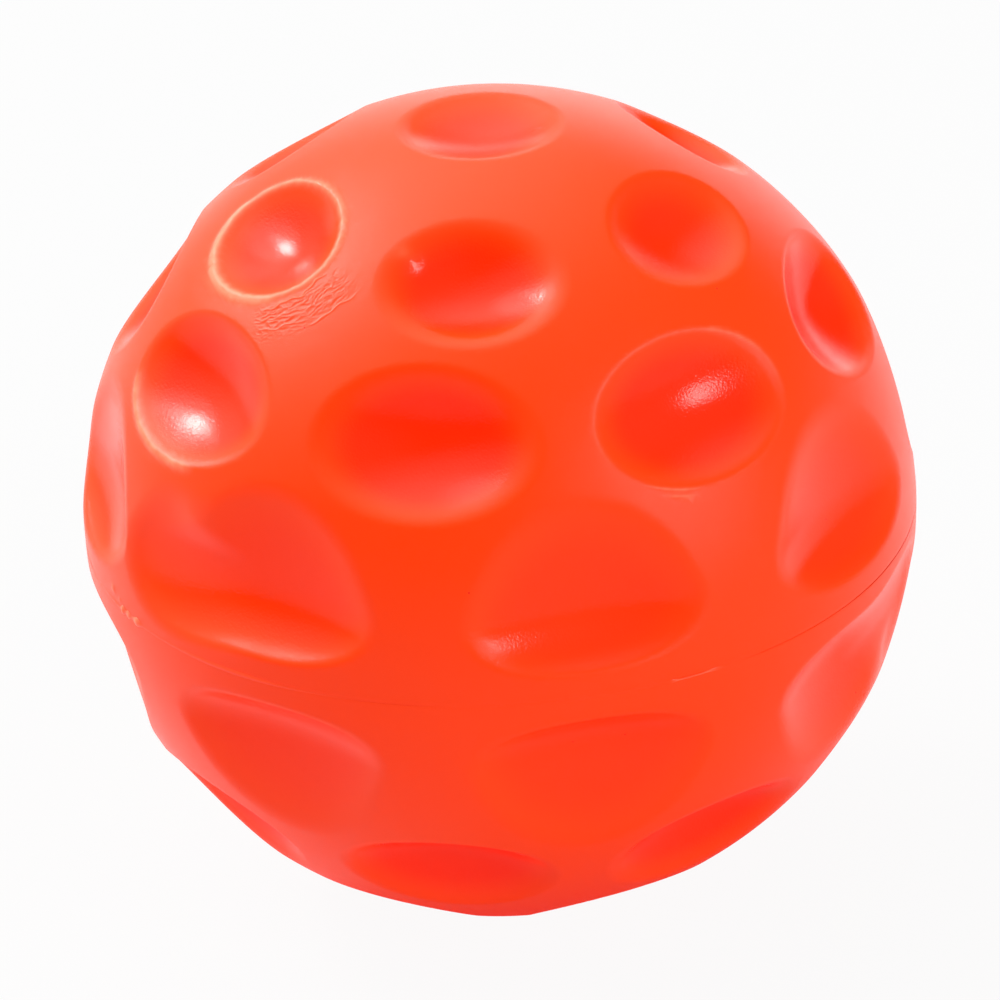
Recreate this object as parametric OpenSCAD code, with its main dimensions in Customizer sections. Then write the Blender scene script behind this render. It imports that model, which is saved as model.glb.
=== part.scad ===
// A moulded dog ball: a firm foam core inside a dense cover that is dimpled all over with craters.
// Both halves of the cover come from the same mould half, so the lower one is the upper one turned over.
// Millimetres. Z is up through both poles, the mould's parting line lies in the plane z = 0,
// and the middle of one first-ring crater faces -Y.

/* [Ball] */
// Diameter over the lands between the craters
ball_d = 66; // [58:1:76]
// Thickness of the cover on the lands
cover_t = 4; // [3.2:0.1:6]

/* [Parting line] */
// Thickness of the bead that the parting line leaves
bead_d = 0.6; // [0.3:0.05:1]
// How far the bead stands out of the skin
bead_proud = 0.1; // [0.05:0.05:0.2]

/* [First ring, next to the parting line] */
// Craters in the ring
first_count = 8; // [6:1:9]
// Latitude of a crater's upper edge, degrees
first_top = 26; // [24:0.5:28]
// Latitude of a crater's lower edge, degrees
first_low = 3.5; // [3:0.5:6]
// Half of a crater's length, degrees
first_half = 15.7; // [13:0.1:17]
// Radius of the round foot below the steep wall
first_foot_r = 5.5; // [4.5:0.5:7]
// Draft of the steep wall, degrees from upright
first_draft = 1; // [0.5:0.5:3]

/* [Side lobe of one first-ring crater] */
// Direction of the lobe round the ball, degrees from -Y
lobe_turn = -63; // [-66:0.5:-60]
// Latitude of the lobe's middle, degrees
lobe_lat = 12.5; // [11:0.5:15]
// Half of the lobe's length, degrees
lobe_half = 8; // [7:0.5:9]
// Half of the lobe's height, degrees
lobe_half_h = 7.5; // [6.5:0.5:8.5]
// Depth of the lobe
lobe_depth = 1.7; // [1.3:0.1:2.2]

/* [Second ring] */
// Craters in the ring
second_count = 8; // [6:1:9]
// Latitude of the ring, degrees
second_lat = 34.7; // [33:0.1:37]
// Half of a crater's length, degrees
second_half = 14.4; // [12:0.1:16]
// Half of a crater's width, degrees
second_half_w = 9.8; // [8:0.1:11]
// Depth of a crater
second_depth = 2.2; // [1.8:0.1:2.8]

/* [Third ring] */
// Craters in the ring
third_count = 6; // [4:1:7]
// Latitude of the ring, degrees
third_lat = 57.3; // [55:0.1:59]
// Direction of the first crater round the ball, degrees from -Y
third_turn = -15; // [-30:1:30]
// Half of a crater's length, degrees
third_half = 11.6; // [10:0.1:13]
// Half of a crater's width, degrees
third_half_w = 9.1; // [7.5:0.1:10]
// Depth of a crater
third_depth = 2; // [1.6:0.1:2.6]

/* [Pole] */
// Half of the round crater's width, degrees
pole_half = 11; // [9:0.1:13]
// Depth of the crater
pole_depth = 2; // [1.6:0.1:2.6]

/* [Hidden] */
$fn = 96;
ball_r = ball_d / 2;
core_r = ball_r - cover_t;
bead_ring_r = ball_r + bead_proud - bead_d / 2;
second_turn = 180 / first_count;
// Room that every cutting tool keeps outside the ball
tool_room = ball_r / 30;
tool_reach = 2 * ball_r;

// Radius of the arc through both edges of a crater, half_deg either side, and its deepest point.
function dish_r(half_deg, depth) =
    let(run = ball_r * sin(half_deg), rise = depth - ball_r * (1 - cos(half_deg)))
    (run * run + rise * rise) / (2 * rise);

// An oval dish above the pole, its length along X.
module dish_tool(half_len, half_wid, depth) {
    len_r = dish_r(half_len, depth);
    wid_r = dish_r(half_wid, depth);
    sweep = 2 * asin(ball_r * sin(half_len) / len_r) + 24;
    mouth = len_r - depth - tool_room;
    translate([0, 0, ball_r - depth + len_r])
        rotate([90, 0, 0])
            rotate([0, 0, -90 - sweep / 2])
                rotate_extrude(angle = sweep)
                    intersection() {
                        translate([len_r - wid_r, 0]) circle(r = wid_r);
                        translate([mouth, -wid_r]) square(2 * wid_r);
                    }
}

// A ring of dishes at one latitude.
module dish_ring(count, lat, turn, half_len, half_wid, depth) {
    for (k = [0 : count - 1])
        rotate([0, 0, turn + 360 * k / count])
            rotate([90 - lat, 0, 0])
                dish_tool(half_len, half_wid, depth);
}

// An upright pocket facing -Y, drawn in radius (x) and height (y) about an upright axis in front of it:
// a round foot that starts at the lower edge and a steep wall, tangent to it, up to the upper edge.
module pocket_tool(top, low, half_len, foot_r, draft) {
    top_h = ball_r * cos(top);
    top_z = ball_r * sin(top);
    out_h = cos(draft);
    out_z = sin(draft);
    span_h = top_h + foot_r * out_h - ball_r * cos(low);
    span_z = top_z + foot_r * out_z - ball_r * sin(low);
    along = span_z * out_h - span_h * out_z;
    drop = along - sqrt(along * along - span_h * span_h - span_z * span_z + foot_r * foot_r);
    foot_h = top_h + foot_r * out_h + drop * out_z;
    foot_z = top_z + foot_r * out_z - drop * out_h;
    floor_h = foot_h - foot_r * out_h;
    run = ball_r * sin(half_len);
    rise = sqrt(ball_r * ball_r - foot_z * foot_z - run * run) - floor_h;
    len_r = (run * run + rise * rise) / (2 * rise);
    axis_h = floor_h + len_r;
    sweep = 2 * asin(run / len_r) + 24;
    mouth = axis_h - ball_r - tool_room;
    wall_x = axis_h - foot_h + foot_r * out_h;
    wall_y = foot_z - foot_r * out_z;
    wall_len = drop + ball_r / 3;
    translate([0, -axis_h, 0])
        rotate([0, 0, 90 - sweep / 2])
            rotate_extrude(angle = sweep)
                intersection() {
                    union() {
                        translate([axis_h - foot_h, foot_z]) circle(r = foot_r);
                        polygon([
                            [wall_x, wall_y],
                            [wall_x + wall_len * out_z, wall_y + wall_len * out_h],
                            [mouth, wall_y + wall_len * out_h],
                            [mouth, wall_y]
                        ]);
                    }
                    translate([mouth, foot_z - foot_r]) square(tool_reach);
                }
}

// Everything that is cut out of one half of the ball.
module half_tools() {
    for (k = [0 : first_count - 1])
        rotate([0, 0, 360 * k / first_count])
            pocket_tool(first_top, first_low, first_half, first_foot_r, first_draft);
    dish_ring(1, lobe_lat, lobe_turn, lobe_half, lobe_half_h, lobe_depth);
    dish_ring(second_count, second_lat, second_turn, second_half, second_half_w, second_depth);
    dish_ring(third_count, third_lat, third_turn, third_half, third_half_w, third_depth);
    dish_tool(pole_half, pole_half, pole_depth);
}

module bead_section() {
    translate([bead_ring_r, 0]) circle(d = bead_d);
}

module half_cover() {
    difference() {
        rotate_extrude()
            difference() {
                intersection() {
                    circle(r = ball_r);
                    square(ball_r);
                }
                circle(r = core_r);
                bead_section();
            }
        half_tools();
    }
}

module upper_cover() {
    color([0.93, 0.18, 0.08]) half_cover();
}

module lower_cover() {
    color([0.88, 0.15, 0.07]) rotate([0, 180, 0]) half_cover();
}

module seam_bead() {
    color([0.95, 0.35, 0.22]) rotate_extrude() bead_section();
}

module foam_core() {
    color([0.96, 0.55, 0.40]) sphere(r = core_r);
}

upper_cover();
lower_cover();
seam_bead();
foam_core();
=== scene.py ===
# %% [markdown]
# # A cratered dog ball
# This lesson dresses a moulded fetch ball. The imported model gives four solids: two halves of a dense cover,
# the thin bead of their moulding seam, and a foam core inside. They fix the ball's size and place. Here the
# covers and the bead are made again with the soft edges, creases and gloss of a real moulding.

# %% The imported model
import math

import bmesh
import bpy
import numpy as np
from mathutils import Matrix, Quaternion, Vector, noise


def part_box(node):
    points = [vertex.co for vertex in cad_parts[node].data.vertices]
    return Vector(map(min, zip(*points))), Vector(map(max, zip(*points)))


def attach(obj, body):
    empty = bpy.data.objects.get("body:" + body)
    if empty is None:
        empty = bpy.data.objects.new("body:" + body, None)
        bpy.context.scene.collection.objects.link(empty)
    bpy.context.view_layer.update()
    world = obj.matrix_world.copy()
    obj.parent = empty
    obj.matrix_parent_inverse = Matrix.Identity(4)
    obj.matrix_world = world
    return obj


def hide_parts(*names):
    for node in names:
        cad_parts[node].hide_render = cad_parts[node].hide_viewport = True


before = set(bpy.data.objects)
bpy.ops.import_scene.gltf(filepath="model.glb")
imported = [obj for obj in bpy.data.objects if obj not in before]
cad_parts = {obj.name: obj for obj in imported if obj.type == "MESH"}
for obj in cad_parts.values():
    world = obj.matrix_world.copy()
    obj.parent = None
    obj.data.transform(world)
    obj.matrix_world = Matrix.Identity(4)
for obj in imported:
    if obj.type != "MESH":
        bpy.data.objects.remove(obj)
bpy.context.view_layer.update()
print("nodes:", sorted(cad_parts))

# %% [markdown]
# ## Sizes
# The ball stands with its seam level and Z through both poles. A place on it is a latitude above the seam and
# a turn to the right of -Y, in degrees. Lengths are in millimetres until a mesh is made. Both radii are those
# of the solids, so the dressed ball fills the same space.

# %% Sizes of the ball
MM = 0.001
BALL_R = 33.0
CORE_R = 29.0
DEGREE = BALL_R * math.pi / 180


def facing(lat, turn):
    """Outward, eastward and northward unit vectors at a place on the ball."""
    up, round_ = math.radians(lat), math.radians(turn)
    out = np.array([math.cos(up) * math.sin(round_), -math.cos(up) * math.cos(round_), math.sin(up)])
    east = np.array([math.cos(round_), math.sin(round_), 0.0])
    return out, east, np.cross(out, east)


print("one degree of the ball's skin is", round(DEGREE, 3), "mm")

# %% [markdown]
# ## Craters
# Two shapes cover the ball. Away from the seam the craters are oval dishes, pressed a little into the skin
# with a rounded rim. Next to the seam the mould has to pull straight off, so those craters are pockets with
# an upright wall towards the pole and a short round foot towards the seam. Boolean modifiers could cut them,
# but they leave sharp rims and ragged faces, so each shape is a formula instead. A dish is a share of the
# way to its rim. A pocket is a distance, negative inside the tool that would press it, and such distances
# can be blended.


# %% Smooth steps
def fade(value, start, end):
    """0 before start, 1 after end, smooth between; start may be the larger."""
    t = np.clip((value - start) / (end - start), 0, 1)
    return t * t * (3 - 2 * t)


def stretch(value, start, full_from, full_to, end):
    """1 between full_from and full_to, 0 before start and after end, smooth between."""
    return fade(value, start, full_from) * fade(value, end, full_to)


def smooth_max(a, b, width):
    """The larger of two values, rounded off where they differ by less than width."""
    return np.maximum(a, b) + np.maximum(width - np.abs(a - b), 0) ** 2 / (4 * width)


# %% A dish
NOT_ZERO = 1e-9


def dish(lat, turn, half_len, half_wid):
    """Share of the way from an oval's middle to its rim, as a function of directions."""
    out, east, north = facing(lat, turn)

    def share(directions):
        x, y = directions @ east, directions @ north
        side = np.maximum(np.hypot(x, y), NOT_ZERO)
        away = np.degrees(np.arctan2(side, directions @ out)) / side
        return np.hypot(away * x / half_len, away * y / half_wid)

    return share


# %% A pocket
def pocket(turn, top, low, half_len, foot_r, draft):
    """Distance to an upright pocket: a wall from latitude top, and a round foot down to latitude low."""
    out, east, _ = facing(0, turn)
    top, low, draft = np.radians([top, low, draft])
    wall_out = np.array([math.cos(draft), math.sin(draft)])
    wall_up = np.array([-math.sin(draft), math.cos(draft)])
    top_edge = BALL_R * np.array([math.cos(top), math.sin(top)])
    low_edge = BALL_R * np.array([math.cos(low), math.sin(low)])
    span = top_edge + foot_r * wall_out - low_edge
    along = span @ wall_up
    drop = along - math.sqrt(along * along - span @ span + foot_r * foot_r)
    foot = top_edge + foot_r * wall_out - drop * wall_up
    floor_h = foot[0] - foot_r * wall_out[0]
    run = BALL_R * math.sin(math.radians(half_len))
    rise = math.sqrt(BALL_R**2 - foot[1] ** 2 - run**2) - floor_h
    len_r = (run * run + rise * rise) / (2 * rise)
    axis_h = floor_h + len_r

    def distance(points):
        inward = axis_h - np.hypot(points @ east, points @ out - axis_h)
        from_foot = np.stack([inward - foot[0], points[..., 2] - foot[1]], -1)
        wall = -(from_foot @ wall_out) - foot_r
        round_foot = np.hypot(from_foot[..., 0], from_foot[..., 1]) - foot_r
        return np.where(from_foot @ wall_up > 0, wall, round_foot)

    return distance


# %% [markdown]
# ## The layout
# One half carries rings of eight pockets, eight dishes and six dishes, and a single round dish at the pole.
# One pocket has a small lobe at its side. Both halves come from the same mould half, so only the upper one is
# laid out, and the lower one is the same layout turned over about Y. Each dish has its depth and the softness
# of its rim, both in millimetres, and a few of them differ from the rest of their ring.

# %% The ring of pockets
POCKET_STEP = 45
POCKET_LAT = 14.7
FIRST = dict(top=26.0, low=3.5, half_len=15.7, foot_r=5.5, draft=1.0)
LOBE = dict(turn=-62.5, top=21.0, low=2.4, half_len=8.6, foot_r=12.5, draft=1.0)
LOBED_TURN = -45
NOTCH_Z, NOTCH_BLEND = 10.5, 1.0
MERGED_Z, MERGED_BLEND = 7.6, 3.2


def lobed(points):
    """Distance to the lobed pocket. Its two shapes merge at the foot and leave a notch at the top."""
    blend = NOTCH_BLEND + (MERGED_BLEND - NOTCH_BLEND) * fade(points[..., 2], NOTCH_Z, MERGED_Z)
    return -smooth_max(-pocket(LOBED_TURN, **FIRST)(points), -pocket(**LOBE)(points), blend)


pockets = []
for turn in range(-180, 180, POCKET_STEP):
    pressed = lobed if turn == LOBED_TURN else pocket(turn, **FIRST)
    pockets.append((pressed, facing(POCKET_LAT, turn)[0]))
print("pockets in one half:", len(pockets))

# %% The rings of dishes
SECOND_LAT, SECOND_DEPTH, SECOND_SOFT = 34.7, 2.8, 0.6
SECOND = dict(half_len=14.4, half_wid=9.8)
LEFT_TURN, RIGHT_TURN = -67.5, 22.5
SECOND_ODD = {LEFT_TURN: (2.8, 0.35), -22.5: (3.0, 0.8), RIGHT_TURN: (2.8, 0.4), 67.5: (3.0, 0.35)}
THIRD_LAT, THIRD_DEPTH, THIRD_SOFT = 57.3, 2.8, 0.5
THIRD_STEP = 60
CRISP_TURN = -75
THIRD = dict(half_len=11.6, half_wid=9.1)
THIRD_ODD = {CRISP_TURN: (2.5, 0.25), -15: (2.7, 0.8), 45: (2.1, 0.35)}
POLE_DEPTH, POLE_SOFT = 2.0, 0.3
POLE = dict(half_len=11.0, half_wid=11.0)
dishes = []


def add_ring(lat, turns, oval, depth, soft, odd_ones):
    """Dishes of one latitude. The odd ones, by their turn, have a depth and a softness of their own."""
    for turn in turns:
        dishes.append((dish(lat, turn, **oval), oval, *odd_ones.get(turn, (depth, soft))))


second_turns = [POCKET_STEP * (k + 0.5) for k in range(-4, 4)]
add_ring(SECOND_LAT, second_turns, SECOND, SECOND_DEPTH, SECOND_SOFT, SECOND_ODD)
third_turns = range(CRISP_TURN, CRISP_TURN + 360, THIRD_STEP)
add_ring(THIRD_LAT, third_turns, THIRD, THIRD_DEPTH, THIRD_SOFT, THIRD_ODD)
add_ring(90, [0], POLE, POLE_DEPTH, POLE_SOFT, {})
print("dishes in one half:", len(dishes))

# %% [markdown]
# ## The skin
# For any direction from the ball's middle there is one radius. It starts at the plain ball, and each crater
# lowers it. For a pocket the radius is found by halving an interval, and a smooth maximum rounds its rim, as
# a moulding's edges are. How deep each place lies in a crater is noted as well: it sets a painted shade, a
# redder colour in deep places, and their gloss.

# %% Radius for each direction
POCKET_REACH = 34
POCKET_SOFT = 0.4
DEEPEST = 4.5
HALVINGS = 20
# How deep a crater is, as a mask for its painted shade (a redder colour) and its gloss
HOLLOW_FROM, HOLLOW_TO = 0.15, 1.8
POCKET_HOLLOW = 0.45


def near_pocket(directions, middle):
    """Numbers of the directions that a pocket with that middle may reach."""
    return np.flatnonzero(directions @ middle > math.cos(math.radians(POCKET_REACH)))


def skin_radius(directions):
    """Radius of the skin in each direction, and a depth mask from 0 to 1 for painted shade and gloss."""
    radius, shade_and_gloss = np.full(len(directions), BALL_R), np.zeros(len(directions))
    for distance, middle in pockets:
        near = near_pocket(directions, middle)
        way = directions[near]
        low, high = np.full(len(near), BALL_R - DEEPEST), np.full(len(near), BALL_R)
        for _ in range(HALVINGS):
            half = (low + high) / 2
            outside = smooth_max(half - BALL_R, -distance(way * half[:, None]), POCKET_SOFT) > 0
            high = np.where(outside, half, high)
            low = np.where(outside, low, half)
        radius[near] = np.minimum(radius[near], high)
        shade_and_gloss[near] = np.maximum(shade_and_gloss[near], POCKET_HOLLOW * fade(BALL_R - high, HOLLOW_FROM, HOLLOW_TO))
    for share, _, depth, soft in dishes:
        lowered = smooth_max(0, depth * (1 - share(directions) ** 2), soft)
        radius -= lowered
        shade_and_gloss = np.maximum(shade_and_gloss, fade(lowered, HOLLOW_FROM, HOLLOW_TO))
    return radius, shade_and_gloss


pole_radius, _ = skin_radius(facing(90, 0)[0][None])
print("the dish at the pole is", round(float(BALL_R - pole_radius[0]), 2), "mm deep")


# %% Distance to the nearest rim
def rim_gap(directions):
    """About how far each direction's place on the plain ball lies from the nearest rim."""
    gap = np.full(len(directions), BALL_R)
    for distance, middle in pockets:
        near = near_pocket(directions, middle)
        gap[near] = np.minimum(gap[near], np.abs(distance(directions[near] * BALL_R)))
    for share, oval, *_ in dishes:
        gap = np.minimum(gap, np.abs(share(directions) - 1) * oval["half_wid"] * DEGREE)
    return gap


# %% [markdown]
# ## Creased skin
# While such a ball cures, its skin wrinkles here and there. On this one long creases run round the outside
# of one upper crater, with finer ripples among them. Three craters have a swollen lip along their rim or part
# of it, and a few flecks stick to the skin. A bump in the material would do for plain grain, but these stand
# up to three tenths of a millimetre high and catch the light from any side, so they are part of the mesh. A
# crease or a lip is placed by its angle round the crater and by its distance outside the crater's rim. How
# pale each one is goes along to the material: on lips, creases and one fleck that paleness is a painted
# highlight, and on two flecks at the seam it is only a paler skin.


# %% Round a crater
def round_crater(points, lat, turn, oval):
    """Angle round a dish, in degrees, and distance outside its rim."""
    out, east, north = facing(lat, turn)
    x, y = points @ east, points @ north
    angle = np.arctan2(y, x)
    rim = DEGREE / np.hypot(np.cos(angle) / oval["half_len"], np.sin(angle) / oval["half_wid"])
    gap = np.where(points @ out > 0, np.hypot(x, y) - rim, BALL_R)
    return np.degrees(angle), gap


def noise_at(*columns):
    """Smooth noise, from about -1 to 1, at points given by their columns."""
    return np.array([noise.noise(Vector(spot)) for spot in np.stack(columns, -1)])


# %% Lips
CREASED = (THIRD_LAT, CRISP_TURN, THIRD)
LEFT_DISH = (SECOND_LAT, LEFT_TURN, SECOND)
RIGHT_DISH = (SECOND_LAT, RIGHT_TURN, SECOND)
LIPS = (
    # crater; from and to, degrees round it; middle, outside the rim, height and half width, mm; paleness, a
    # painted highlight
    (CREASED, -180, 180, 0.18, 0.095, 0.34, 0.75),
    (CREASED, 170, 330, 0.45, 0.060, 0.40, 0.70),
    (LEFT_DISH, -175, -55, 0.20, 0.080, 0.36, 0.85),
    (RIGHT_DISH, -10, 200, 0.05, 0.020, 0.16, 0.12),
    (RIGHT_DISH, 12, 62, 0.10, 0.025, 0.20, 0.25),
    (RIGHT_DISH, -148, -104, 0.30, 0.055, 0.13, 0.45),
    (RIGHT_DISH, -138, -106, 0.80, 0.050, 0.13, 0.45),
)
LIP_TAPER = 15
LIP_UNEVEN = 0.5
LIP_NOISE = 1.7
LIP_REACH = 3


def add_lips(points, height, pale):
    """Raises the lips at points of the plain ball, and paints them pale as a painted highlight."""
    for crater, start, end, away, high, half_width, paleness in LIPS:
        angle, gap = round_crater(points, *crater)
        angle = start + (angle - start) % 360
        near = np.flatnonzero((np.abs(gap - away) < LIP_REACH * half_width) & (angle < end))
        whole = end - start == 360
        ends = 1 if whole else stretch(angle[near], start, start + LIP_TAPER, end - LIP_TAPER, end)
        uneven = 1 + LIP_UNEVEN * noise_at(*(points[near] * LIP_NOISE).T)
        swollen = ends * uneven * np.exp(-(((gap[near] - away) / half_width) ** 2))
        height[near] += high * swollen
        pale[near] += paleness * swollen


# %% Flecks
# The first fleck's paleness is a painted highlight; the two at the seam are only paler
FLECKS = (
    # latitude, turn, radius in mm, height in mm, paleness
    (60.6, -32.2, 0.75, 0.30, 0.10),
    (82.3, 78.7, 0.32, 0.10, 0.0),
    (1.9, -76.9, 0.35, 0.10, 0.5),
    (1.1, -74.8, 0.22, 0.06, 0.35),
)


def add_flecks(points, height, pale):
    """Raises the flecks at points of the plain ball, and makes them pale: a painted highlight on one, paler
    skin on two at the seam.
    """
    for lat, turn, radius, high, paleness in FLECKS:
        away = np.linalg.norm(points - BALL_R * facing(lat, turn)[0], axis=1)
        speck = np.exp(-((away / radius) ** 2))
        height += high * speck
        pale += paleness * speck


# %% Creases
CREASES = (
    # from and to, degrees round the crater; gap outside the rim at both ends, mm; height, mm; half width, mm
    (-44, 4, 1.35, 0.70, 0.055, 0.075),
    (-36, -8, 0.95, 1.15, 0.035, 0.06),
    (-20, 6, 3.7, 4.1, 0.045, 0.07),
    (-48, -30, 2.2, 2.1, 0.040, 0.07),
    (-46, -22, 2.9, 3.2, 0.035, 0.06),
    (-12, 3, 2.4, 2.0, 0.025, 0.06),
    (38, 58, 1.6, 0.9, 0.030, 0.06),
)
# Creases are painted pale as a painted highlight
CREASE_GLINT = 0.35
CREASE_BEYOND, CREASE_TAPER = 1, 6
# Millimetres aside, waves in a whole turn round the crater, and how far along the first one starts
SWAYS = ((0.12, 17, 0), (0.07, 41, 60))


def add_creases(points, height, pale):
    """Raises the swaying creases at points of the plain ball, and paints them pale as a painted highlight."""
    angle, gap = round_crater(points, *CREASED)
    sway = sum(aside * np.sin(np.radians(angle * waves + lead)) for aside, waves, lead in SWAYS)
    for start, end, gap_start, gap_end, high, half_width in CREASES:
        t = np.clip((angle - start) / (end - start), 0, 1)
        line = gap_start + (gap_end - gap_start) * t + sway
        bounds = (start - CREASE_BEYOND, start + CREASE_TAPER, end - CREASE_TAPER, end + CREASE_BEYOND)
        fold = stretch(angle, *bounds) * np.exp(-(((gap - line) / half_width) ** 2))
        height += high * fold
        pale += CREASE_GLINT * fold


# %% Ripples
RIPPLE_ANGLES = (-52, -40, 2, 14)
RIPPLE_GAPS = (0.5, 1.7, 2.6, 4.6)
RIPPLE_HEIGHT = 0.026
RIPPLE_FAINT = 0.02
RIPPLE_SHARP = 3
# Noise for each millimetre of gap, degree round the crater and millimetre of height
GAP_NOISE, ANGLE_NOISE, Z_NOISE = 3.4, 0.26, 0.3


def add_ripples(points, height):
    """Raises fine ripples, sharp along their tops, at points of the plain ball."""
    angle, gap = round_crater(points, *CREASED)
    zone = stretch(angle, *RIPPLE_ANGLES) * stretch(gap, *RIPPLE_GAPS)
    some = np.flatnonzero(zone > RIPPLE_FAINT)
    folds = noise_at(gap[some] * GAP_NOISE, angle[some] * ANGLE_NOISE, points[some, 2] * Z_NOISE)
    height[some] += RIPPLE_HEIGHT * zone[some] * (1 - RIPPLE_SHARP * np.abs(folds))


# %% All of it together
NARROW_LIP = 0.15
FINE_REACH = 2


def crease_height(points):
    """Height of lips, flecks, creases and ripples at points of the plain ball, and how pale their skin is
    painted, mostly as painted highlight.
    """
    height, pale = np.zeros(len(points)), np.zeros(len(points))
    add_lips(points, height, pale)
    add_flecks(points, height, pale)
    add_creases(points, height, pale)
    add_ripples(points, height)
    return height, pale


def creased(directions):
    """Which directions have ripples, flecks or narrow lips."""
    angle, gap = round_crater(directions * BALL_R, *CREASED)
    wanted = (gap > 0) & (gap < RIPPLE_GAPS[-1]) & (angle > RIPPLE_ANGLES[0]) & (angle < RIPPLE_ANGLES[-1])
    for lat, turn, radius, *_ in FLECKS:
        wanted |= directions @ facing(lat, turn)[0] > math.cos(FINE_REACH * radius / BALL_R)
    for crater, start, end, away, _, half_width, _ in LIPS:
        angle, gap = round_crater(directions * BALL_R, *crater)
        along = (angle - start) % 360 < end - start
        wanted |= (half_width < NARROW_LIP) & along & (np.abs(gap - away) < FINE_REACH * half_width)
    return wanted


print(len(LIPS), "lips,", len(FLECKS), "flecks and", len(CREASES), "creases")

# %% [markdown]
# ## A grid that is fine where it matters
# A globe's grid pinches at its poles, so the half ball starts as half a cube blown up to a sphere, which has
# nearly even squares everywhere. Crater floors are smooth and need few of them. Rims and the seam need many,
# so those squares are split twice, and the creased skin is split three times.

# %% Half a sphere of squares
SQUARES = 76
SAME_SPOT_DECIMALS = 7


def half_sphere(n):
    """Unit directions and faces of the upper half of a cube blown up to a sphere."""
    full = np.tan(np.linspace(-math.pi / 4, math.pi / 4, n + 1))
    upper = full[n // 2 :]
    spots, faces, count = [], [], 0
    for a, b, place in (
        (full, full, lambda u, v, one: (u, v, one)),
        (full, upper, lambda u, v, one: (one, u, v)),
        (full, upper, lambda u, v, one: (-u, one, v)),
        (full, upper, lambda u, v, one: (-one, -u, v)),
        (full, upper, lambda u, v, one: (u, -one, v)),
    ):
        u, v = np.meshgrid(a, b, indexing="ij")
        spots.append(np.stack(place(u, v, np.ones_like(u)), -1).reshape(-1, 3))
        at = np.arange(u.size).reshape(u.shape) + count
        faces.append(np.stack([at[:-1, :-1], at[1:, :-1], at[1:, 1:], at[:-1, 1:]], -1).reshape(-1, 4))
        count += u.size
    spots = np.concatenate(spots)
    spots /= np.linalg.norm(spots, axis=1, keepdims=True)
    rounded = np.round(spots, SAME_SPOT_DECIMALS)
    _, first, merged = np.unique(rounded, axis=0, return_index=True, return_inverse=True)
    return spots[first], merged.ravel()[np.concatenate(faces)]


def split_near(bm, wanted):
    """Splits in four every face whose middle is wanted, and fits the faces round them."""
    middles = np.array([f.calc_center_median() for f in bm.faces])
    middles /= np.linalg.norm(middles, axis=1, keepdims=True)
    chosen = wanted(middles)
    edges = {e for f, take in zip(bm.faces, chosen) if take for e in f.edges}
    bmesh.ops.subdivide_edges(bm, edges=list(edges), cuts=1, use_grid_fill=True)


# %% The grid, split where it has to be fine
# How near a rim and how near the seam a square is split, the first time and the second
SPLITS = ((1.0, 1.2), (0.3, 0.7))

directions, quads = half_sphere(SQUARES)
grid = bmesh.new()
for d in directions:
    grid.verts.new(d)
grid.verts.ensure_lookup_table()
for q in quads:
    grid.faces.new([grid.verts[i] for i in q])
for rim_band, seam_band in SPLITS:
    split_near(
        grid,
        lambda way: (rim_gap(way) < rim_band) | (way[:, 2] * BALL_R < seam_band) | creased(way),
    )
split_near(grid, creased)
directions = np.array([v.co for v in grid.verts])
directions /= np.linalg.norm(directions, axis=1, keepdims=True)
grid.verts.index_update()
half_faces = [[v.index for v in f.verts] for f in grid.faces]
seam_loop = [v.index for v in grid.verts if v.is_boundary]
seam_loop.sort(key=lambda i: math.atan2(directions[i, 1], directions[i, 0]))
grid.free()
print("skin of one half:", len(directions), "points,", len(half_faces), "faces")
print("points on the seam:", len(seam_loop))

# %% [markdown]
# ## Closing a half into a solid
# A cover half is a thick cup, not a sheet. At the seam its edge turns in and runs flat to the core, and
# inside it is a plain dome that lies on the core. A Solidify modifier would copy every crater to the inside,
# so the dome is built by itself. It never shows, so it has few faces. A strip of triangles joins the edge's
# many points to the dome's few.


# %% A strip between two rows
def bridge(many, few, angle):
    """Triangles between two closed rows of points that both run anticlockwise from -180 degrees."""
    faces, i, j = [], 0, 0
    while i < len(many) or j < len(few):
        next_i = angle(many[i]) if i < len(many) else math.inf
        next_j = angle(few[j]) if j < len(few) else math.inf
        a, b = many[i % len(many)], few[j % len(few)]
        if next_i <= next_j:
            faces.append([a, many[(i + 1) % len(many)], b])
            i += 1
        else:
            faces.append([few[(j + 1) % len(few)], b, a])
            j += 1
    return faces


# %% Edge, seam face and inner dome
EDGE_GAP = 0.05
DOME_STEPS = 96
DOME_ROWS = 12


def dome_rows(first):
    """Points of the inner dome below its top, and the numbers of each row's points, counted from first."""
    dome, rows = [], []
    for row in range(1, DOME_ROWS):
        up = math.pi / 2 * row / DOME_ROWS
        flat = CORE_R * math.cos(up)
        rows.append([first + len(dome) + k for k in range(DOME_STEPS)])
        for k in range(DOME_STEPS):
            turn = -math.pi + 2 * math.pi * k / DOME_STEPS
            dome.append((flat * math.cos(turn), flat * math.sin(turn), CORE_R * math.sin(up)))
    return dome, rows


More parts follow.
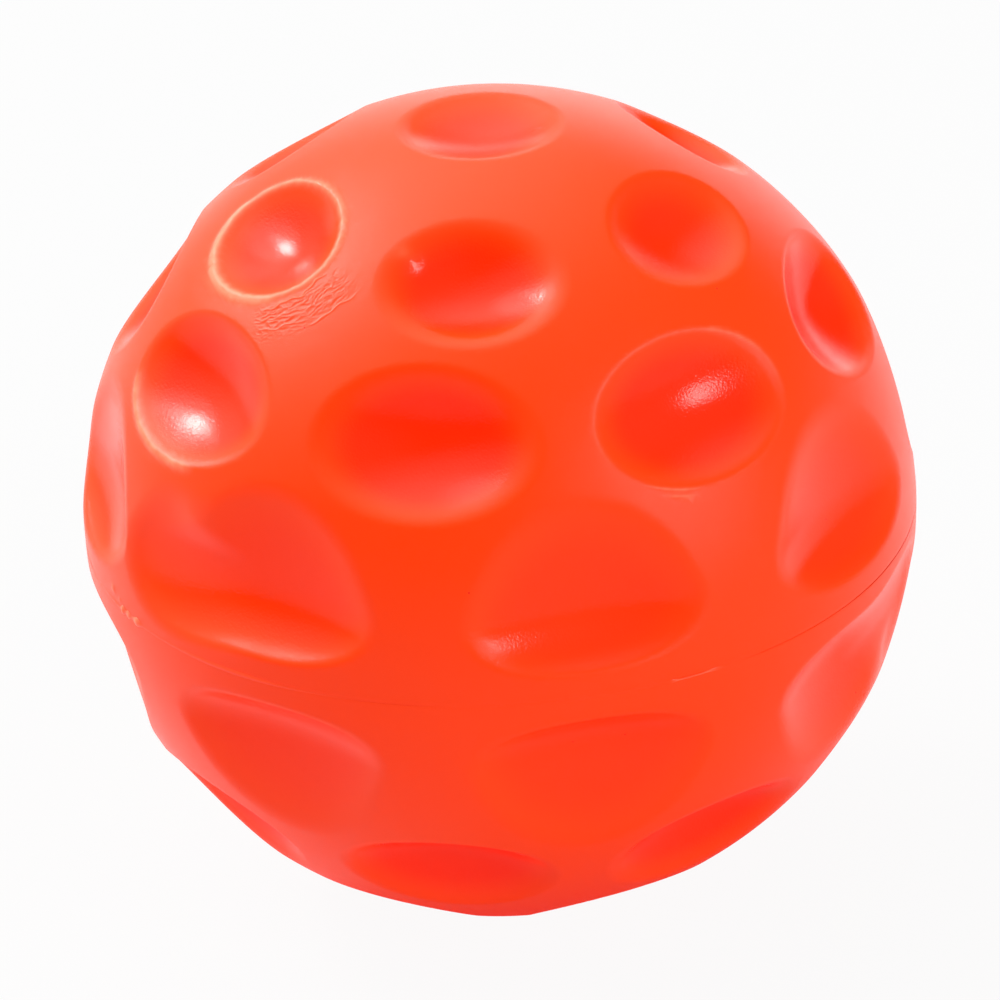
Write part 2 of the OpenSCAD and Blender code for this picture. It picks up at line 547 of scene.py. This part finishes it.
def cup(points):
    """Points and faces of a closed cover half from the points of its skin."""
    points = points.copy()
    points[:, 2] = np.maximum(points[:, 2], EDGE_GAP)
    inner = points[seam_loop]
    inner[:, :2] *= (CORE_R / np.hypot(inner[:, 0], inner[:, 1]))[:, None]
    edge = len(seam_loop)
    inner_row = list(range(len(points), len(points) + edge))
    dome, rows = dome_rows(len(points) + edge)
    top = len(points) + edge + len(dome)
    everything = np.concatenate([points, inner, np.array(dome), [[0, 0, CORE_R]]])

    def angle(i):
        return math.atan2(everything[i, 1], everything[i, 0])

    faces = list(half_faces)
    for k in range(edge):
        n = (k + 1) % edge
        faces.append([seam_loop[n], seam_loop[k], inner_row[k], inner_row[n]])
    faces += [f[::-1] for f in bridge(inner_row, rows[0], angle)]
    for under, over in zip(rows, rows[1:]):
        for k in range(DOME_STEPS):
            n = (k + 1) % DOME_STEPS
            faces.append([under[n], under[k], over[k], over[n]])
    for k in range(DOME_STEPS):
        faces.append([rows[-1][(k + 1) % DOME_STEPS], rows[-1][k], top])
    return everything, faces


# %% A piece from points and faces
def new_piece(name, points, faces, normals=None, **paint):
    """A piece of the ball. Each paint is a number for each point, which a material can read by its name."""
    mesh = bpy.data.meshes.new(name)
    mesh.from_pydata((np.asarray(points) * MM).tolist(), [], faces)
    shape = bmesh.new()
    shape.from_mesh(mesh)
    bmesh.ops.recalc_face_normals(shape, faces=shape.faces)
    open_edges = sum(1 for e in shape.edges if not e.is_manifold)
    shape.to_mesh(mesh)
    shape.free()
    mesh.shade_smooth()
    for label, values in paint.items():
        values = np.pad(values, (0, len(points) - len(values)))
        mesh.attributes.new(label, "FLOAT", "POINT").data.foreach_set("value", values)
    if normals is not None:
        unset = len(points) - len(normals)
        mesh.normals_split_custom_set_from_vertices(np.pad(normals, ((0, unset), (0, 0))).tolist())
    piece = bpy.data.objects.new(name, mesh)
    bpy.context.scene.collection.objects.link(piece)
    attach(piece, "root")
    print(name, len(mesh.vertices), "points,", len(mesh.polygons), "faces,", open_edges, "open edges")
    return piece


# %% [markdown]
# ## Both halves
# A casting is never quite true, so a slow swell of up to a tenth of a millimetre goes over the skin. It
# keeps a row of equal craters from looking copied, because each then holds its highlight a little
# differently. Smooth shading would guess the skin's slope from the faces round each point. Here the slope is
# worked out from the skin itself and given to the mesh, so highlights stay smooth where squares are large.

# %% The skin's points
SWELL = 0.035
SWELL_WAVES = ((5.1, 3.3, 0.0), (0.0, 4.2, -4.7), (2.9, 0.0, 6.3))
SWELL_EDGE = 0.08
EDGE_DROP = 0.02
EDGE_ROUND = 0.25


def swell(directions, phase):
    """A slow swell of the skin that dies away at the seam."""
    waves = sum(np.sin(directions @ wave + k * phase) for k, wave in enumerate(SWELL_WAVES, 1))
    return SWELL * waves * fade(np.abs(directions[:, 2]), 0.0, SWELL_EDGE)


def skin_points(directions, phase, with_creases):
    """Points of the skin, a depth mask for painted shade and gloss, and how pale each is painted, mostly as
    painted highlight. Only one half has creases.
    """
    directions = directions / np.linalg.norm(directions, axis=1, keepdims=True)
    radius, shade_and_gloss = skin_radius(directions)
    radius += swell(directions, phase) - EDGE_DROP * fade(directions[:, 2] * BALL_R, EDGE_ROUND, 0)
    pale = np.zeros(len(directions))
    if with_creases:
        height, pale = crease_height(directions * BALL_R)
        radius += height
    return directions * radius[:, None], shade_and_gloss, pale


# %% The two cover halves
# Slopes are measured over this step, in radians, and the ways aside come from a direction between the points
STEP = 0.001
ASIDE = (0.36, 0.48, 0.8)
AS_MOULDED = np.array([1.0, 1.0, 1.0])
TURNED_OVER = np.array([-1.0, 1.0, -1.0])


def cover(name, phase, with_creases, turned):
    """A cover half, with the slope of the skin itself at each point."""
    points, shade_and_gloss, pale = skin_points(directions, phase, with_creases)
    side = np.cross(directions, ASIDE)
    side /= np.linalg.norm(side, axis=1, keepdims=True)
    ahead = np.cross(directions, side)
    along, *_ = skin_points(directions + STEP * side, phase, with_creases)
    over, *_ = skin_points(directions + STEP * ahead, phase, with_creases)
    normals = np.cross(along - points, over - points)
    normals /= np.linalg.norm(normals, axis=1, keepdims=True)
    everything, faces = cup(points)
    piece = new_piece(name + "_skin", everything * turned, faces, normals * turned, hollow=shade_and_gloss, scuff=pale)
    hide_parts(name)
    return piece


upper_cover = cover("upper_cover", phase=0.7, with_creases=True, turned=AS_MOULDED)
lower_cover = cover("lower_cover", phase=2.1, with_creases=False, turned=TURNED_OVER)

# %% [markdown]
# ## The seam
# Where the mould halves meet, a little material creeps out and is trimmed off. Round the left and the back
# of this ball it stays as a low rounded ridge with a few crumbs. In front it dies away, shows once as a thin
# torn sliver, and turns into a fine groove at the right. A curve with a bevel would have the same section all
# round, so the bead is a ring of sections whose height and width change along the way.

# %% Ridge and groove along the seam
BEAD_STEPS = 1800
# The ridge's paleness is a painted highlight
RIDGE, RIDGE_HALF, RIDGE_GLINT = 0.07, 0.26, 0.12
RIDGE_STRETCHES = ((-178, -150, -50, -18), (92, 110, 150, 178))
RIDGE_UNEVEN = 0.25
RIDGE_WAVES = (9, 4)
GROOVE, GROOVE_HALF = -0.15, 0.16
GROOVE_LEAST = 0.35
GROOVE_LEAST_TURN, GROOVE_FULL_TURN = 30, 85
FLUSH_STRETCH = (-30, -12, 18, 26)

turns = np.linspace(-180, 180, BEAD_STEPS, endpoint=False)
ridge = sum(stretch(turns, *bounds) for bounds in RIDGE_STRETCHES)
fast, slow = (np.radians(turns * waves) for waves in RIDGE_WAVES)
ridge = np.clip(ridge * (1 - RIDGE_UNEVEN + RIDGE_UNEVEN * np.sin(fast) * np.cos(slow)), 0, 1)
opened = GROOVE_LEAST + (1 - GROOVE_LEAST) * fade(np.abs(turns), GROOVE_LEAST_TURN, GROOVE_FULL_TURN)
flush = stretch(turns, *FLUSH_STRETCH)
raised = np.maximum(ridge, flush)
bead_high = (GROOVE * opened * (1 - ridge) + RIDGE * ridge) * (1 - flush)
bead_half = GROOVE_HALF * opened * (1 - raised) + RIDGE_HALF * raised
# Pale along the seam: a painted highlight on the ridge, and paler crumbs and sliver
scuffed = RIDGE_GLINT * ridge
print("share of the seam with a ridge:", round(float(np.mean(ridge > 0)), 2))

# %% Crumbs and a sliver
CRUMBS = (
    # turn; height, mm; half length, degrees
    (-73.9, 0.13, 0.5),
    (-72.3, 0.05, 0.5),
    (-69.8, 0.15, 0.8),
    (118, 0.08, 0.6),
    (171, 0.08, 0.7),
)
CRUMB_WIDER, CRUMB_PALE = 0.22, 0.7
SLIVER_STRETCH = (10.1, 12.2, 14.6, 18.4)
SLIVER, SLIVER_HALF, SLIVER_PALE = 0.10, 0.05, 0.5

for turn, high, half_length in CRUMBS:
    crumb = np.exp(-(((turns - turn) / half_length) ** 2))
    bead_high += high * crumb
    bead_half += CRUMB_WIDER * crumb
    scuffed += CRUMB_PALE * crumb
sliver = stretch(turns, *SLIVER_STRETCH)
bead_high += SLIVER * sliver
bead_half += (SLIVER_HALF - bead_half) * sliver
scuffed += SLIVER_PALE * sliver
print("the bead stands at most", round(float(bead_high.max()), 2), "mm proud")

# %% The seam bead
BEAD_ROOT = 0.5
BEAD_SPOTS = 9
SINK = 0.045

across = np.linspace(-1, 1, BEAD_SPOTS)
bead_points = []
for turn, high, half_width in zip(np.radians(turns), bead_high, bead_half):
    arch = high - (high + SINK) * across**2 if high > -SINK else np.full(BEAD_SPOTS, high)
    section = [(-BEAD_ROOT, -EDGE_GAP)] + list(zip(arch, across * half_width)) + [(-BEAD_ROOT, EDGE_GAP)]
    for out, z in section:
        r = BALL_R + out
        bead_points.append((r * math.sin(turn), -r * math.cos(turn), z))
ring = BEAD_SPOTS + 2
bead_faces = []
for k in range(BEAD_STEPS):
    for m in range(ring):
        a, b = k * ring + m, k * ring + (m + 1) % ring
        c, d = (k + 1) % BEAD_STEPS * ring + m, (k + 1) % BEAD_STEPS * ring + (m + 1) % ring
        bead_faces.append([a, b, d, c])
seam_bead = new_piece("seam_flash", bead_points, bead_faces, scuff=np.repeat(scuffed, ring))
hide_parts("seam_bead")

# %% [markdown]
# ## Writing shader maths as sums
# A material is a graph of nodes. This small class holds one socket of it, so that sums on sockets read like
# sums, and one method makes any other node: its settings first, then its sockets.


# %% A socket that can be added and multiplied
class Wire:
    """One output socket of a node tree, or only the tree before it has one."""

    def __init__(self, tree, socket=None):
        self.tree, self.socket = tree, socket

    def node(self, kind, settings, sockets, output=0):
        """A new node's output. Each of its sockets takes a value or another wire."""
        made = self.tree.nodes.new(kind)
        for name, value in settings.items():
            setattr(made, name, value)
        for key, value in sockets.items():
            if isinstance(value, Wire):
                self.tree.links.new(value.socket, made.inputs[key])
            else:
                made.inputs[key].default_value = value
        return Wire(self.tree, made.outputs[output])

    def maths(self, operation, a, b):
        return self.node("ShaderNodeMath", {"operation": operation}, {0: a, 1: b})

    def __add__(self, other):
        return self.maths("ADD", self, other)

    def __sub__(self, other):
        return self.maths("SUBTRACT", self, other)

    def __rsub__(self, other):
        return self.maths("SUBTRACT", other, self)

    def __mul__(self, other):
        return self.maths("MULTIPLY", self, other)

    __radd__ = __add__
    __rmul__ = __mul__


# %% Materials and the nodes that they share
def new_material(name):
    """A material, the wire that its nodes start from, and its main shader."""
    material = bpy.data.materials.new(name)
    material.use_nodes = True
    shader = material.node_tree.nodes["Principled BSDF"]
    return material, Wire(material.node_tree), shader


def plug(wire, node, socket):
    """Joins a wire to a socket of a node."""
    wire.tree.links.new(wire.socket, node.inputs[socket])


def noise_wire(place, scale, detail=2.0):
    """Noise from 0 to 1, with so many features in a metre."""
    return place.node("ShaderNodeTexNoise", {}, {"Vector": place, "Scale": scale, "Detail": detail}, "Fac")


def ramp_wire(value, start, end, low=0.0, high=1.0):
    """A smooth step from low to high while value goes from start to end."""
    settings = {"interpolation_type": "SMOOTHSTEP"}
    return value.node("ShaderNodeMapRange", settings, {0: value, 1: start, 2: end, 3: low, 4: high})


def mix_wire(factor, a, b):
    """A colour between a and b."""
    return factor.node("ShaderNodeMix", {"data_type": "RGBA"}, {0: factor, 6: a, 7: b}, 2)


def along_wire(place, way):
    """How far a place lies along a direction."""
    sockets = {0: place, 1: tuple(way)}
    return place.node("ShaderNodeVectorMath", {"operation": "DOT_PRODUCT"}, sockets, "Value")


# %% [markdown]
# ## Glossy fluorescent cover
# The cover is self-skinned polyurethane in a bright vermilion. Its craters are polished, with a fine pebble
# grain that only shows inside highlights. Its lands are blasted so finely that they just look a little
# duller, so their grain is smaller than a pixel of the picture. The craters are painted a deeper red, which
# is painted shade. There is a rare pinhole, painted dark as painted shade. Lips, creases, the seam ridge and
# one fleck are painted pale as painted highlights, and crumbs, a torn sliver and two flecks at the seam are
# paler. The dye is fluorescent, which turns some of the blue and green light into red; here a fixed red glow
# is given off on top of what is reflected, under any light or none, which is painted light. Pictures wrapped
# round a ball pinch at the poles, so colour clouds, gloss and grain all come from noise in the ball's own
# space.

# %% The cover's dye and painted light
LAND_ORANGE = (1.0, 0.081, 0.004, 1)
# The hollows' deeper red is painted shade
HOLLOW_SHADE_RED = (1.0, 0.043, 0.002, 1)
# Pale tint: a painted highlight on lips, creases, the ridge and one fleck, and paler crumbs, sliver and seam
# flecks
GLINT_AND_PALE_TINT = (1.0, 0.34, 0.18, 1)
# Pinholes are painted dark: painted shade
PIN_SHADE = (0.30, 0.010, 0.002, 1)
CLOUD_SCALE, CLOUD_SHARE = 70.0, 0.3


def cover_dye_and_painted_light(place, depth, scuff, pin):
    """Orange on the lands, deeper red in the hollows as painted shade, pale where highlights are painted and
    where the skin is paler, and dark in a pinhole as painted shade.
    """
    clouds = noise_wire(place, CLOUD_SCALE, detail=3.0)
    # The hollows get a deeper red as painted shade
    dye_with_painted_light = mix_wire(depth + CLOUD_SHARE * clouds - CLOUD_SHARE / 2, LAND_ORANGE, HOLLOW_SHADE_RED)
    # Pale tint: painted highlight on lips, creases, ridge and one fleck, plain paleness on crumbs and sliver
    dye_with_painted_light = mix_wire(scuff, dye_with_painted_light, GLINT_AND_PALE_TINT)
    # Pinholes darkened as painted shade
    return mix_wire(pin, dye_with_painted_light, PIN_SHADE)


# %% The cover's grain
GRAIN_SCALE, LAND_GRAIN, CRATER_GRAIN = 5500.0, 0.3, 1.0
BLAST_SCALE, BLAST_UNTIL = 24000.0, 0.2
PIN_DEPTH = 2.7
GRAIN_HEIGHT = 0.0000135


def cover_grain(place, depth, gloss, pin):
    """Pebbles, mostly in the craters, a finer blasted grain on the lands, and pinholes."""
    pebbles = noise_wire(place, GRAIN_SCALE, detail=1.0)
    blasted = noise_wire(place, BLAST_SCALE, detail=0.0)
    height = pebbles * (LAND_GRAIN + CRATER_GRAIN * gloss)
    height = height + blasted * ramp_wire(depth, BLAST_UNTIL, 0.0) - PIN_DEPTH * pin
    return place.node("ShaderNodeBump", {}, {"Strength": 1.0, "Distance": GRAIN_HEIGHT, "Height": height})


# %% The cover's material
PIN_SCALE, PIN_EDGE, PIN_FLOOR = 260.0, 0.022, 0.010
POLISHED_FROM = 0.4
LAND_ROUGH, POLISH = 0.24, 0.10
ROUGH_DRIFT, DRIFT_SCALE = 0.04, 420.0
COVER_IOR = 1.34
# A fixed red glow, given off without any lamp: painted light standing in for fluorescence
PAINTED_GLOW_RED = (1.0, 0.0, 0.0, 1)
PAINTED_GLOW = 0.45


def cover_material(name):
    material, start, shader = new_material(name)
    place = start.node("ShaderNodeTexCoord", {}, {}, "Object")
    # The hollow mask sets painted shade and gloss; the scuff mask is mostly a painted highlight
    depth = start.node("ShaderNodeAttribute", {"attribute_name": "hollow"}, {}, "Fac")
    scuff = start.node("ShaderNodeAttribute", {"attribute_name": "scuff"}, {}, "Fac")
    pins = place.node("ShaderNodeTexVoronoi", {}, {"Vector": place, "Scale": PIN_SCALE}, "Distance")
    pin = ramp_wire(pins, PIN_EDGE, PIN_FLOOR)
    gloss = ramp_wire(depth, 0.0, POLISHED_FROM)
    drift = noise_wire(place, DRIFT_SCALE, detail=3.0)
    plug(cover_dye_and_painted_light(place, depth, scuff, pin), shader, "Base Color")
    plug(LAND_ROUGH - POLISH * gloss + ROUGH_DRIFT * drift, shader, "Roughness")
    plug(cover_grain(place, depth, gloss, pin), shader, "Normal")
    shader.inputs["IOR"].default_value = COVER_IOR
    # Painted glow, the same under any light or none
    shader.inputs["Emission Color"].default_value = PAINTED_GLOW_RED
    shader.inputs["Emission Strength"].default_value = PAINTED_GLOW
    return material


cover_finish = cover_material("glossy_vermilion_cover")
for piece in (upper_cover, lower_cover, seam_bead):
    piece.data.materials.append(cover_finish)
print("cover material:", len(cover_finish.node_tree.nodes), "nodes")

# %% [markdown]
# ## Foam core
# The core is fine closed-cell foam in a paler shade of the same dye. It shows only where a cover is taken
# off, so its solid stays as it is. Its material is cells of a third of a millimetre, a matt surface and a
# darker colour in the cells' sunken middles than at their walls, which is painted shade.

# %% The core's material
PALE_FOAM = (0.92, 0.38, 0.22, 1)
# The cells' sunken middles are painted darker: painted shade
FOAM_CELL_SHADE = (0.86, 0.28, 0.14, 1)
CELL_SCALE, CELL_MIDDLE, CELL_WALL = 3000.0, 0.1, 0.7
CELL_DEPTH, CELL_STRENGTH = 0.0001, 0.5
FOAM_ROUGH, FOAM_DRIFT, FOAM_DRIFT_SCALE = 0.75, 0.15, 300.0


def foam_material(name):
    material, start, shader = new_material(name)
    place = start.node("ShaderNodeTexCoord", {}, {}, "Object")
    cells = place.node("ShaderNodeTexVoronoi", {}, {"Vector": place, "Scale": CELL_SCALE}, "Distance")
    # Darker sunken cell middles: painted shade
    plug(mix_wire(ramp_wire(cells, CELL_MIDDLE, CELL_WALL), FOAM_CELL_SHADE, PALE_FOAM), shader, "Base Color")
    plug(FOAM_ROUGH + FOAM_DRIFT * noise_wire(place, FOAM_DRIFT_SCALE), shader, "Roughness")
    sockets = {"Strength": CELL_STRENGTH, "Distance": CELL_DEPTH, "Height": cells}
    plug(start.node("ShaderNodeBump", {}, sockets), shader, "Normal")
    return material


foam_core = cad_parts["foam_core"]
foam_core.data.materials.clear()
foam_core.data.materials.append(foam_material("closed_cell_foam"))
print("the core has", foam_core.data.materials[0].name)

# %% [markdown]
# ## Floor and light
# The ball stands on a plain white table. A large round softbox hangs high at the left, with a strip and a
# small lamp before it, and an oval one stands low at the right. They give the small bright spots in the
# craters and the lines along their rims. The room is dim, with soft pale patches at the left, at the right
# and behind, which give the pale edge that gloss has at a glancing angle. A table bright enough to look white
# would throw its light on the ball, so only what the camera and reflections see of it is white. For other
# light it is a matt grey, and a little of that is mixed in for the camera too, which keeps the ball's shadow.
# In reflections the table carries a painted shadow under the ball and painted shade in front of it.

# %% Floor
FLOOR_HALF = 3.0

floor_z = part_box("lower_cover")[0][2]
corners = [(x * FLOOR_HALF, y * FLOOR_HALF, 0) for x, y in ((-1, -1), (1, -1), (1, 1), (-1, 1))]
floor_mesh = bpy.data.meshes.new("table")
floor_mesh.from_pydata(corners, [], [(0, 1, 2, 3)])
floor = bpy.data.objects.new("table", floor_mesh)
floor.location.z = floor_z
bpy.context.scene.collection.objects.link(floor)
print("the table lies", round(-floor_z / MM, 1), "mm below the seam")

# %% White table
VIEW_TURN = -10.8
TABLE_GREY = (0.5, 0.5, 0.5, 1)
TABLE_ROUGH = 0.9
WHITE_SHARE = 0.94
SHADE_FROM, SHADE_TO = 0.012, 0.05
BRIGHTER_TURN = -165
DULL, BRIGHT = -0.07, 0.05


def ray_wire(start, kind):
    """1 for rays of a kind, such as Camera, and 0 for others."""
    return start.node("ShaderNodeLightPath", {}, {}, f"Is {kind} Ray")


table_finish, table_wire, table_shader = new_material("white_table")
table_shader.inputs["Base Color"].default_value = TABLE_GREY
table_shader.inputs["Roughness"].default_value = TABLE_ROUGH
spot = table_wire.node("ShaderNodeTexCoord", {}, {}, "Object")
away = spot.node("ShaderNodeVectorMath", {"operation": "LENGTH"}, {0: spot}, "Value")
toward_light = along_wire(spot, facing(0, VIEW_TURN + BRIGHTER_TURN)[0])
# Reflections of the table: a painted shadow close under the ball and painted shade in front of it
lit = ramp_wire(away, SHADE_FROM, SHADE_TO) * ramp_wire(toward_light, DULL, BRIGHT)
mirrored = ray_wire(table_wire, "Glossy") + ray_wire(table_wire, "Transmission")
seen = ray_wire(table_wire, "Camera") + mirrored * lit
white = table_wire.node("ShaderNodeEmission", {}, {"Color": (1, 1, 1, 1), "Strength": 1.0})
matt = Wire(table_finish.node_tree, table_shader.outputs[0])
look = table_wire.node("ShaderNodeMixShader", {}, {0: WHITE_SHARE * seen, 1: matt, 2: white})
plug(look, table_finish.node_tree.nodes["Material Output"], "Surface")
floor_mesh.materials.append(table_finish)
print("table material:", len(table_finish.node_tree.nodes), "nodes")

# %% Softboxes
LAMP_AWAY = 0.6


def softbox(name, turn, lat, wide, high, power, lean=0.0):
    """A round lamp that faces the ball from LAMP_AWAY. Its turn is measured from the camera."""
    light = bpy.data.lights.new(name, "AREA")
    light.shape = "ELLIPSE"
    light.size = wide
    light.size_y = high
    light.energy = power
    lamp = bpy.data.objects.new(name, light)
    lamp.location = facing(lat, VIEW_TURN + turn)[0] * LAMP_AWAY
    leaning = Quaternion((0, 0, 1), math.radians(lean))
    lamp.rotation_euler = (lamp.location.to_track_quat("Z", "Y") @ leaning).to_euler()
    bpy.context.scene.collection.objects.link(lamp)
    print(name, power, "W")


softbox("left_softbox", turn=-120, lat=48, wide=0.45, high=0.45, power=0.9)
softbox("left_strip", turn=-124, lat=41, wide=0.36, high=0.10, power=0.6, lean=47)
softbox("left_lamp", turn=-126, lat=40, wide=0.115, high=0.115, power=0.8)
softbox("right_softbox", turn=50, lat=21, wide=0.17, high=0.24, power=1.1)

# %% Room
ROOM_DIM = 0.05
ROOM_PATCHES = (
    # latitude and turn of the middle, cosine of the way from it to the edge, strength
    (55, -125, 0.4, 1.1),
    (25, 60, 0.3, 0.25),
    (58, -165, 0.72, 0.65),
    (-12, 168, 0.78, 2.0),
)

room = bpy.data.worlds.new("pale_room")
bpy.context.scene.world = room
room.use_nodes = True
toward = Wire(room.node_tree).node("ShaderNodeTexCoord", {}, {}, "Generated")
strength = ROOM_DIM
for lat, turn, edge, bright in ROOM_PATCHES:
    lift = along_wire(toward, facing(lat, VIEW_TURN + turn)[0])
    strength = strength + ramp_wire(lift, edge, 1.0, 0.0, bright)
background = room.node_tree.nodes["Background"]
background.inputs["Color"].default_value = (1, 1, 1, 1)
plug(strength, background, "Strength")
print("pale patches in the room:", len(ROOM_PATCHES))

# %% [markdown]
# ## Camera
# The picture was taken from a little above with a long lens, and the ball leans a few degrees in it. The
# camera stands thirteen radii away, and its lens makes the ball as wide as in the picture.

# %% The camera
VIEW_LAT = 27.5
VIEW_ROLL = 3.1
RADII_AWAY = 13.0
BALL_SHARE = 0.4165
SENSOR = 36.0

out, east, north = facing(VIEW_LAT, VIEW_TURN)
roll = math.radians(VIEW_ROLL)
right = east * math.cos(roll) - north * math.sin(roll)
up = east * math.sin(roll) + north * math.cos(roll)
lens = bpy.data.cameras.new("camera")
lens.sensor_width = SENSOR
lens.lens = SENSOR * BALL_SHARE * math.sqrt(RADII_AWAY**2 - 1)
camera = bpy.data.objects.new("camera", lens)
stand = Matrix.Translation(out * BALL_R * MM * RADII_AWAY)
camera.matrix_world = stand @ Matrix(np.stack([right, up, out], 1)).to_4x4()
bpy.context.scene.collection.objects.link(camera)
bpy.context.scene.camera = camera
bpy.context.scene.view_settings.view_transform = "Standard"
print("lens", round(lens.lens, 1), "mm")

# %% [markdown]
# ## The end
# The scene is brought up to date.

# %% The end
bpy.context.view_layer.update()
